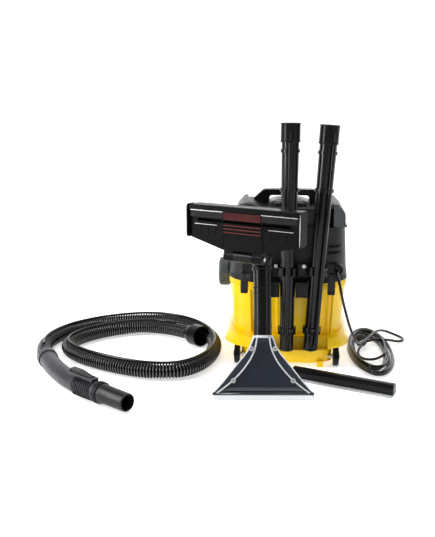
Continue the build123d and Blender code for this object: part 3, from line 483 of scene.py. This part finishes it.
def coil_turns():
    """The loose oval turns of the mains cable, wound outwards, then inwards on top."""
    points = []
    half = TURN_POINTS // 2
    for number in range(FIRST_POINT, (len(COIL_TURNS) - 1) * TURN_POINTS + half):
        turn, step = divmod(number, TURN_POINTS)
        share = step / TURN_POINTS
        now = COIL_TURNS[turn]
        after = COIL_TURNS[min(turn + 1, len(COIL_TURNS) - 1)]
        blend = max(0.0, share - 0.45) / 0.55
        blend = blend * blend * (3 - 2 * blend)
        left, right, near, far, height = (a + (b - a) * blend for a, b in zip(now, after))
        angle = math.pi - 2 * math.pi * share
        middle_y = (near + far) / 2
        sway = 2.4 * math.sin(2.3 * angle + 1.9 * turn) + 1.3 * math.sin(3.7 * angle + turn)
        x = (left + right) / 2 + (right - left) / 2 * math.cos(angle) + 0.18 * sway
        y = middle_y + (far - near) / 2 * math.sin(angle) + 1.6 * sway * math.sin(angle)
        points.append((x, y, height + 0.35 * math.sin(2 * angle + turn)))
    return points


def add_cable():
    points = CABLE_ROUTE[:-1] + COIL_ENTRY + coil_turns() + PLUG_ROUTE
    cable = smooth_curve("mains_cable_line", points, CABLE_R, M["cable"])
    length = path_length(line_points(points))
    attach(cable, "head")
    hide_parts("mains_cable", "cable_coil")
    print("cable length", round(length, 3))


# ============================================================================================
# DETAIL PIECES
# ============================================================================================
class Place:
    """A local frame given in millimetres, like the planes of the CAD source."""

    def __init__(self, origin, across, upwards, front):
        self.origin = Vector(origin)
        self.axes = [Vector(across), Vector(upwards), Vector(front)]

    def point(self, across, upwards, front):
        total = self.origin.copy()
        for amount, axis in zip((across, upwards, front), self.axes):
            total += amount * axis
        return total * MM


HAND = Place((-51, -411, 4), (0.99619, 0.08716, 0), (-0.02981, 0.34072, 0.93969),
             (0.08190, -0.93612, 0.34202))
SOLE = Place((-98, -372, 320), (0.88295, -0.46947, 0), (0, 0, 1), (-0.46947, -0.88295, 0))
REAR = Place((0, 0, 0), (1, 0, 0), (0, 0, 1), (0, -1, 0))
TUBE_ONE = Place((0, -192, 47.5), (1, 0, 0), (0, 0, 1), (0, -1, 0))
TUBE_TWO = Place((59, -192, 50), (0.99813, 0, -0.06105), (0.06105, 0, 0.99813), (0, -1, 0))


def keep_mesh(name, builder, material, body, soften=0.0, smooth=True):
    """Turn a bmesh into a piece that rides on a body."""
    bmesh.ops.recalc_face_normals(builder, faces=builder.faces)
    mesh = bpy.data.meshes.new(name)
    builder.to_mesh(mesh)
    builder.free()
    mesh.materials.append(material)
    for polygon in mesh.polygons:
        polygon.use_smooth = smooth
    piece = bpy.data.objects.new(name, mesh)
    collection.objects.link(piece)
    if soften:
        edge = piece.modifiers.new("soft_edges", "BEVEL")
        edge.width = soften * MM
        edge.segments = 3
        edge.limit_method = "ANGLE"
        edge.angle_limit = math.radians(35)
        normals = piece.modifiers.new("normals", "WEIGHTED_NORMAL")
        normals.keep_sharp = True
    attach(piece, body)
    return piece


def add_plate(name, place, outline, low, high, material, body, soften=0.5):
    """A flat piece: an outline in a place's plane, from one height to another in front of it."""
    builder = bmesh.new()
    lower = [builder.verts.new(place.point(x, y, low)) for x, y in outline]
    upper = [builder.verts.new(place.point(x, y, high)) for x, y in outline]
    builder.faces.new(lower)
    builder.faces.new(upper)
    for index in range(len(outline)):
        following = (index + 1) % len(outline)
        builder.faces.new((lower[index], lower[following], upper[following], upper[index]))
    return keep_mesh(name, builder, material, body, soften, smooth=False)


def box_outline(low_x, high_x, low_y, high_y):
    return [(low_x, low_y), (high_x, low_y), (high_x, high_y), (low_x, high_y)]


def round_outline(low_x, high_x, low_y, high_y, radius, steps=6):
    """A rectangle with round corners."""
    corners = [(high_x - radius, high_y - radius, 0), (low_x + radius, high_y - radius, 90),
               (low_x + radius, low_y + radius, 180), (high_x - radius, low_y + radius, 270)]
    outline = []
    for x, y, start in corners:
        for step in range(steps + 1):
            angle = math.radians(start + 90 * step / steps)
            outline.append((x + radius * math.cos(angle), y + radius * math.sin(angle)))
    return outline


def add_rib(name, points, radius, material, body):
    """A round bead along a smooth line of points in metres."""
    data = bpy.data.curves.new(name, "CURVE")
    data.dimensions = "3D"
    spline = data.splines.new("NURBS")
    spline.points.add(len(points) - 1)
    for target, point in zip(spline.points, points):
        target.co = (*point, 1)
    spline.order_u = 3
    spline.use_endpoint_u = True
    data.resolution_u = 10
    data.bevel_depth = radius * MM
    data.bevel_resolution = 4
    data.use_fill_caps = True
    data.materials.append(material)
    piece = bpy.data.objects.new(name, data)
    collection.objects.link(piece)
    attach(piece, body)
    return piece


def add_turned(name, centre, along, outline, material, body, sides=40):
    """A ring or collar turned about an axis: outline is (distance along, radius) in mm."""
    along = Vector(along).normalized()
    sideways = along.cross(Vector((0.12, 0.31, 0.94))).normalized()
    upwards = along.cross(sideways)
    builder = bmesh.new()
    rings = []
    for distance, radius in outline:
        ring = []
        for step in range(sides):
            angle = 2 * math.pi * step / sides
            spoke = radius * (math.cos(angle) * sideways + math.sin(angle) * upwards)
            ring.append(builder.verts.new((Vector(centre) + distance * along + spoke) * MM))
        rings.append(ring)
    for index in range(len(rings)):
        ring, following = rings[index], rings[(index + 1) % len(rings)]
        for step in range(sides):
            after = (step + 1) % sides
            builder.faces.new((ring[step], ring[after], following[after], following[step]))
    piece = keep_mesh(name, builder, material, body, 0.0)
    sharp = piece.modifiers.new("soft_edges", "BEVEL")
    sharp.width = 0.4 * MM
    sharp.segments = 2
    sharp.angle_limit = math.radians(35)
    return piece


# distance up the nozzle, half width and half thickness of the hand nozzle, and its inner ribs
NOZZLE_EDGE = [(136, 22, 21), (120, 28, 18.8), (105, 35, 16.6), (85, 51, 14.2), (66, 67, 12.1),
               (52, 78, 10.7), (38, 89, 9.6), (24, 101.5, 8.6), (10, 114, 7.6)]
INNER_RIB = [(136, 14, 21.6), (120, 16, 19.4), (105, 20, 17.2), (85, 29.5, 14.8), (66, 43, 12.7),
             (52, 55, 11.3), (38, 69, 10.2), (24, 86, 9.2), (10, 105, 8.2)]


def add_hand_nozzle_details():
    body, slot = "hand_nozzle", "clear_plastic"
    # beads along the clear body's outer edges and inner ribs in the near-white clear material: the ribs
    # are real, their brightness a painted highlight
    for side, word in ((-1, "left"), (1, "right")):
        add_rib(f"nozzle_edge_{word}",
                [HAND.point(side * (half - 0.6), up, front - 0.8) for up, half, front in NOZZLE_EDGE],
                1.3, M["rib"], body)
        add_rib(f"nozzle_rib_{word}",
                [HAND.point(side * half, up, front) for up, half, front in INNER_RIB],
                1.7, M["rib"], body)
        add_rib(f"nozzle_back_edge_{word}",
                [HAND.point(side * (half - 0.6), up, 0.8 - front) for up, half, front in NOZZLE_EDGE],
                1.2, M["rib"], body)
    # the dark panel between the two inner ribs, in strips across
    builder = bmesh.new()
    rows = []
    for up, half, front in INNER_RIB:
        row = []
        for step in range(13):
            share = step / 6 - 1
            row.append(builder.verts.new(HAND.point(share * half, up, front - 0.5)))
        rows.append(row)
    for low, high in zip(rows, rows[1:]):
        for step in range(12):
            builder.faces.new((low[step], low[step + 1], high[step + 1], high[step]))
    panel = keep_mesh("nozzle_panel", builder, M["panel"], body)
    thickness = panel.modifiers.new("thickness", "SOLIDIFY")
    thickness.thickness = 0.8 * MM
    add_rib("nozzle_lip_bead", [HAND.point(x, 11.0, 8.3) for x in (-114, -60, 0, 60, 114)],
            1.1, M["panel"], body)
    # dark sheet in the smoke panel's colour over the lip's upper half: painted shade
    builder = bmesh.new()
    corners = ((-115.2, 5.2, 8.35), (115.2, 5.2, 8.35), (115.6, 10.4, 9.05), (-115.6, 10.4, 9.05))
    builder.faces.new([builder.verts.new(HAND.point(*corner)) for corner in corners])
    lip_shade_piece = keep_mesh("nozzle_lip_painted_shade", builder, M["panel"], body)
    lip_shade_piece.modifiers.new("thickness", "SOLIDIFY").thickness = 0.5 * MM
    for across, up, front in ((-27, 110, 18.4), (27, 110, 18.4), (-68, 38, 10.6), (68, 38, 10.6)):
        centre = HAND.point(across, up, front) / MM
        add_turned(f"screw_cup_{across}_{up}".replace("-", "m"), centre, HAND.axes[2],
                   [(-1.2, 3.6), (1.6, 3.6), (1.9, 5.2), (-1.2, 5.6)], M["rib"], body, 24)
    # clamp ring at the top of the clear body
    add_turned("nozzle_collar", HAND.point(0, 134, 0) / MM, HAND.axes[1],
               [(0, 22.2), (0, 24.0), (2.2, 24.4), (5.6, 24.0), (6.4, 22.4), (6.4, 22.1)],
               M["rib"], body, 48)
    add_turned("neck_rim", HAND.point(0, 249.2, 0) / MM, HAND.axes[1],
               [(0, 20.7), (0, 21.6), (1.4, 22.0), (3.4, 21.6), (3.7, 20.7)],
               M["black"], body, 48)
    for height in (158, 236):
        add_turned(f"neck_ring_{height}", HAND.point(0, height, 0) / MM, HAND.axes[1],
                   [(0, 20.65), (0.5, 21.3), (2.5, 21.3), (3, 20.65)],
                   M["black"], body, 48)


def add_floor_nozzle_details():
    body = "floor_nozzle_head"
    # raised centre block and the rails round the suction slot
    add_plate("sole_centre", SOLE, [(-49, 17), (49, 17), (49, 52), (-49, 52)], 10.05, 11.6,
              M["sole"], body, 0.8)
    for name, low, high in (("slot_rail_low", 73.8, 75.6), ("slot_rail_high", 82.3, 83.6)):
        add_plate(name, SOLE, box_outline(-121, 121, low, high), 10.05, 12.6, M["sole"], body,
                  0.4)
    for side, word in ((-1, "left"), (1, "right")):
        edges = sorted((side * 50, side * 139))
        add_plate(f"glide_line_high_{word}", SOLE, box_outline(*edges, 99.6, 101.2), 10.05, 14.9,
                  M["steel"], body, 0.3)
        inner = sorted((side * 66, side * 128))
        add_plate(f"glide_line_low_{word}", SOLE, box_outline(*inner, 68.2, 69.3), 10.05, 11.6,
                  M["steel"], body, 0.3)
        # side wings, a step lower than the centre
        wing = [(side * 53, 20), (side * 137, 42), (side * 137, 66), (side * 53, 66)]
        add_plate(f"sole_wing_{word}", SOLE, wing, 10.05, 11.0, M["sole"], body,
                  0.6)
        for number, x in enumerate((70, 90, 110)):
            add_plate(f"sole_rib_{word}_{number}", SOLE,
                      box_outline(*sorted((side * x, side * (x + 1.6))), 44, 64), 11.0, 12.0,
                      M["sole"], body, 0.3)
        # mould lines beside the centre
        add_plate(f"mould_line_{word}", SOLE,
                  box_outline(*sorted((side * 50.4, side * 51.6)), 17, 101), 10.05, 12.2,
                  M["glide"], body, 0.3)
        cap = Vector(SOLE.point(side * 45.5, 0, 0)) / MM
        add_turned(f"pivot_cap_{word}", cap, SOLE.axes[0] * side,
                   [(0, 0.1), (0, 9.2), (4.4, 8.4), (5.4, 6.4), (5.6, 0.1)],
                   M["glide"], body, 32)
    # fine pile on the red pads
    for number in range(23):
        x = -46 + 4.2 * number
        add_rib(f"red_pile_{number}", [SOLE.point(x, 85, 14.2), SOLE.point(x + 0.6, 92, 14.5),
                                       SOLE.point(x, 99, 14.2)],
                0.9, M["red"], body)
    add_rib("top_lip_edge", [SOLE.point(x, 112.6, 13.4) for x in (-138, -70, 0, 70, 138)],
            1.1, M["rubber"], body)
    # beads along the edges of the end caps: the right one white, a painted highlight of the light on its
    # curved end, the left one dark
    for side, word in ((-1, "left"), (1, "right")):
        edge = []
        for step in range(7):
            share = step / 6
            edge.append(SOLE.point(side * (143.6 + 1.2 * math.sin(math.pi * share)),
                                   40 + 68 * share, 15.6 + 1.2 * math.sin(math.pi * share)))
        add_rib(f"cap_edge_{word}", edge, 1.6, M["white" if side > 0 else "glide"], body)
    # flared socket collar under the elbow
    add_turned("socket_collar", HAND.point(0, 292, 0) / MM, HAND.axes[1],
               [(0, 21.1), (0, 23.2), (3, 24.2), (7, 24.0), (8, 23.2)],
               M["black"], "floor_nozzle_socket", 48)


def add_tube_details():
    """Coupler rings, clips and moulded ridges on both suction tubes."""
    for word, place, length, body, turn in (("one", TUBE_ONE, 566, "tube_one", -90),
                                            ("two", TUBE_TWO, 560, "tube_two", -62)):
        angle = math.radians(turn)
        side, front = math.cos(angle), -math.sin(angle)
        axis = place.axes[1]

        def ring(name, height, outline, finish="black", place=place, axis=axis, body=body):
            add_turned(name, place.point(0, height, 0) / MM, axis, outline, M[finish], body,
                       48)
        ring(f"tube_{word}_mouth", length - 3, [(0, 23.4), (0, 24.3), (2.2, 24.5), (3.2, 23.4)])
        ring(f"tube_{word}_sleeve_foot", length - 45.5,
             [(0, 21.3), (0, 24.2), (3.4, 24.4), (4.6, 23.4), (4.6, 21.3)])
        ring(f"tube_{word}_foot_ring", 40,
             [(0, 17.5), (1, 19.6), (9, 20.2), (11, 19.4), (11, 17.6)])
        ring(f"tube_{word}_foot_end", 1, [(0, 17.2), (0, 18.2), (4, 18.6), (5, 17.3)], "tube")
        for number, (low, high) in enumerate(((length - 41, length - 20), (44, 58))):
            middle = 24.6 if number == 0 else 21.0
            points = []
            for step in range(5):
                height = low + (high - low) * step / 4
                bulge = middle + 1.6 * math.sin(math.pi * step / 4)
                points.append(place.point(side * bulge, height, front * bulge))
            add_rib(f"tube_{word}_clip_{number}", points, 2.2, M["glide"], body)
        # small tabs beside the lower ring
        for tab, direction in (("left", -1), ("right", 1)):
            edges = sorted((direction * 18.6, direction * 22.4))
            add_plate(f"tube_{word}_tab_{tab}", place, box_outline(*edges, 42, 49), -4, 6,
                      M["black"], body, 0.8)
        # ridges that guide the spray line up the tube
        for number, offset in enumerate((-7.5, 7.5)):
            points = []
            for step in range(7):
                height = 66 + (length - 120) * step / 6
                radius = 17.6 + 3.9 * (height - 60) / (length - 62) + 0.3
                spin = angle + math.radians(offset * 2.6)
                points.append(place.point(radius * math.cos(spin), height,
                                          -radius * math.sin(spin)))
            add_rib(f"tube_{word}_ridge_{number}", points, 1.0, M["tube"], body)


GLAND_X = 122             # middle of the cable gland in the head's rear wall
GLAND_Z = 246


def add_head_details():
    body = "head"
    # frame round the cable gland and the grip ribs on its nut
    add_turned("gland_ring", (GLAND_X, -146, GLAND_Z), (0, -1, 0),
               [(0, 12.6), (0, 16.6), (2.0, 16.8), (3.4, 15.6), (3.4, 13.2)],
               M["black"], body, 48)
    for number in range(12):
        angle = 2 * math.pi * number / 12
        line = [at(GLAND_X + radius * math.cos(angle), y, GLAND_Z + radius * math.sin(angle))
                for radius, y in ((12.4, -147.2), (12.4, -150), (11, -152.6))]
        add_rib(f"gland_grip_{number}", line, 0.9, M["rubber"], body)
    # louvre blades in the two air outlets at each rear corner
    for side, word in ((-1, "left"), (1, "right")):
        for number, height in enumerate((286.2, 291.8, 302.2, 307.8)):
            points = [(side * 101, -142.5), (side * 112, -139), (side * 122, -132.5),
                      (side * 132, -122)]
            add_rib(f"louvre_{word}_{number}", [at(x, y + 1.2, height) for x, y in points],
                    1.1, M["black"], body)
        # moulded rib under each side cover
        add_rib(f"cover_bead_{word}", [at(side * 146.5, y, 350.6) for y in (-96, -50, 0, 50, 84)],
                1.6, M["grey"], body)
    # rim along the head's lower edge at the rear
    for number, height in enumerate((216.5, 222)):
        points = []
        for step in range(25):
            angle = math.radians(198 + 144 * step / 24)
            points.append((60 * math.copysign(1, math.cos(angle)) + 96.6 * math.cos(angle),
                           -59.5 + 97.0 * math.sin(angle)))
        add_rib(f"head_rim_{number}", [at(x, y, height) for x, y in points],
                1.3, M["head"], body)
    # grip ribs under the carrying handle's bar and a bead round the roof hump
    for number in range(9):
        x = -40 + 10 * number
        add_rib(f"handle_rib_{number}", [at(x, -14, 436.0), at(x, 0, 436.3), at(x, 14, 436.0)],
                0.9, M["black"], body)
    add_turned("hump_ring", (0, -8, 409.6), (0, 0, 1),
               [(0, 30), (0, 34), (1.6, 34), (1.6, 30)], M["black"], body, 56)
    # shoulders that carry the roof's curve from the side covers to the handle
    for side, word in ((-1, "left"), (1, "right")):
        arc = [(113.6, 398.2), (113.6, 408.8), (106, 411.5), (98, 411.2), (88, 408), (78, 403),
               (70, 399.6), (66, 398.2)]
        builder = bmesh.new()
        loops = []
        for y, drop in ((-112, 5.5), (-104, 1.2), (-92, 0.0), (-40, 0.0), (24, 0.0), (34, 1.2),
                        (42, 5.5)):
            loops.append([builder.verts.new(at(side * x, y, max(398.15, z - drop)))
                          for x, z in arc])
        for loop, following in zip(loops, loops[1:]):
            for index in range(len(arc)):
                after = (index + 1) % len(arc)
                builder.faces.new((loop[index], loop[after], following[after], following[index]))
        builder.faces.new(loops[0])
        builder.faces.new(loops[-1])
        keep_mesh(f"roof_shoulder_{word}", builder, M["head"], body, 0.8)
    # block edges of the rack, and finger lips on the latches
    for number, (low_x, high_x) in enumerate(((-53, -21), (21, 53))):
        add_plate(f"rack_block_{number}", REAR, round_outline(low_x + 2, high_x - 2, 190, 222, 7),
                  205.05, 207.4, M["black"], body, 1.0)
    for side, word in ((-1, "left"), (1, "right")):
        middle = side * 109.5
        add_plate(f"latch_lip_{word}", REAR, round_outline(middle - 8, middle + 8, 188.5, 193, 2),
                  171.05, 174.6, M["head"], f"latch_{word}", 0.8)
        add_plate(f"latch_panel_{word}", REAR, round_outline(middle - 7, middle + 7, 197, 216, 3),
                  171.05, 172.2, M["head"], f"latch_{word}", 0.4)


def rounded_rear(half_x, half_y, radius, centre_y, count=41, low=190, high=350):
    """Points of a rounded rectangle's rear half, from left to right."""
    points = []
    for step in range(count):
        angle = math.radians(low + (high - low) * step / (count - 1))
        side = -1 if math.cos(angle) < 0 else 1
        points.append((side * (half_x - radius) + radius * math.cos(angle),
                       centre_y - (half_y - radius) + radius * math.sin(angle)))
    return points


def add_tub_details():
    body, slot = "tub", "yellow_plastic"
    # bead under the seam and the mould step at the collar
    for number, (height, half_x, half_y, radius) in enumerate((
            (206, 155.2, 157.2, 96), (199, 154.6, 156.6, 96))):
        outline = rounded_rear(half_x, half_y, radius, 2)
        add_rib(f"tub_bead_{number}", [at(x, y, height) for x, y in outline],
                1.5, M["yellow"], body)
    # upright ribs either side of the tube bay
    for number, x in enumerate((-92, -64, 112)):
        points = []
        for step in range(6):
            height = 80 + 112 * step / 5
            share = (height - 46) / 166
            y = -(145 + 10 * share) + (5.5 if abs(x) > 90 else 0.6)
            points.append(at(x * (1 + 0.05 * share), y, height))
        add_rib(f"tub_rib_{number}", points, 4.0, M["yellow"], body)
    # shallow panel behind the tubes
    panel = [(-26, 82), (84, 82), (88, 196), (-30, 196)]
    add_plate("tub_rear_panel", REAR, panel, 148.2, 153.6, M["yellow"], body, 3.0)
    # hub caps on the rear wheels
    for side, word in ((-1, "left"), (1, "right")):
        add_turned(f"hub_{word}", (side * 132, -165, 25), (side, 0, 0),
                   [(0, 5.4), (0, 12.5), (1.2, 13.2), (3.2, 11.4), (3.8, 5.4)],
                   M["grey"], f"rear_wheel_{word}", 40)


def add_grip_details():
    body = "hose"
    tip, along = Vector((-408, -472, 25.5)), Vector((0.804, -0.594, 0))
    for number, distance in enumerate((-11, -7, -3)):
        add_turned(f"grip_ring_{number}", tip + distance * along, along,
                   [(0, 24.4), (0.6, 25.4), (1.8, 25.4), (2.4, 24.4)], M["black"], body,
                   48)
    tube = add_turned("grip_tube", tip, along,
                      [(0.3, 15.2), (0.3, 22.4), (10, 22.2), (12, 21.4), (80, 20.6), (84, 20.0),
                       (84, 17.4), (70, 15.6)], M["nose"], body, 56)
    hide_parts("grip_end_tube")
    # ribs round the front half of the grip
    sideways = Vector((0.594, 0.804, 0))
    start = Vector((-500, -404, 25.5))
    for number in range(9):
        middle = start.lerp(tip, 0.30 + 0.062 * number) - 3.2 * sideways * math.sin(
            math.pi * (0.30 + 0.062 * number))
        points = []
        for step in range(9):
            angle = math.radians(-70 + 140 * step / 8)
            spoke = 22.9 * (math.cos(angle) * -sideways + math.sin(angle) * Vector((0, 0, 1)))
            points.append((middle + spoke) * MM)
        add_rib(f"grip_rib_{number}", points, 1.1, M["black"], body)


# ============================================================================================
# PUT IT TOGETHER
# ============================================================================================
add_camera()
add_world()
add_floor(floor_material)
add_area("key_left", (-1.9, -0.9, 1.1), (0.0, 0.0, 0.22), (0.6, 1.8), 40)
add_area("fill_right", (1.9, -1.3, 1.3), (0.0, 0.0, 0.2), (0.9, 1.4), 9)
add_area("top", (0.0, 0.1, 2.4), (0.0, 0.0, 0.0), (2.2, 2.2), 24)

for finish_name, node_names in CAD_FINISH.items():
    for node_name in node_names:
        dress(node_name, M[finish_name])

add_hose()
add_cable()
add_hand_nozzle_details()
add_floor_nozzle_details()
add_tube_details()
add_head_details()
add_tub_details()
add_grip_details()
